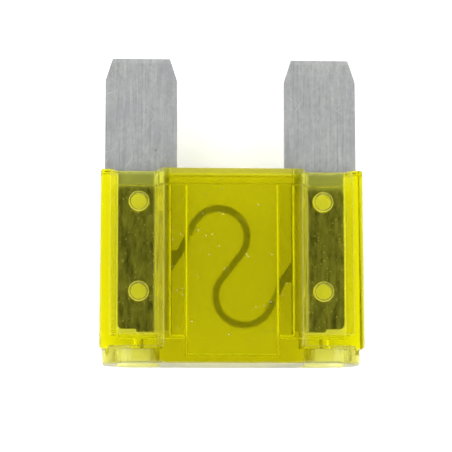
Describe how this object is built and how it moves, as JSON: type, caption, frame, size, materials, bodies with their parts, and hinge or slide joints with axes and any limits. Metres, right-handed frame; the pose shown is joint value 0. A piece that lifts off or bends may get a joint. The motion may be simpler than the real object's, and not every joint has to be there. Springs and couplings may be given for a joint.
{
  "type": "automotive blade fuse",
  "caption": "Large automotive blade fuse: a clear moulded housing round a stamped metal element with an S-shaped link and flat tab blades.",
  "frame": {"origin": "under the middle of the fuse, in the plane that its back lies on", "axes": "+X from blade to blade, +Y towards the blade tips, +Z out of the front face"},
  "size_m": [0.0292, 0.0342, 0.0089],
  "materials": {
    "clear_yellow_plastic": "gloss",
    "zinc_plated_metal": "satin"
  },
  "bodies": {
    "root": {"housing": "clear_yellow_plastic", "fuse_element": "zinc_plated_metal"}
  },
  "joints": []
}
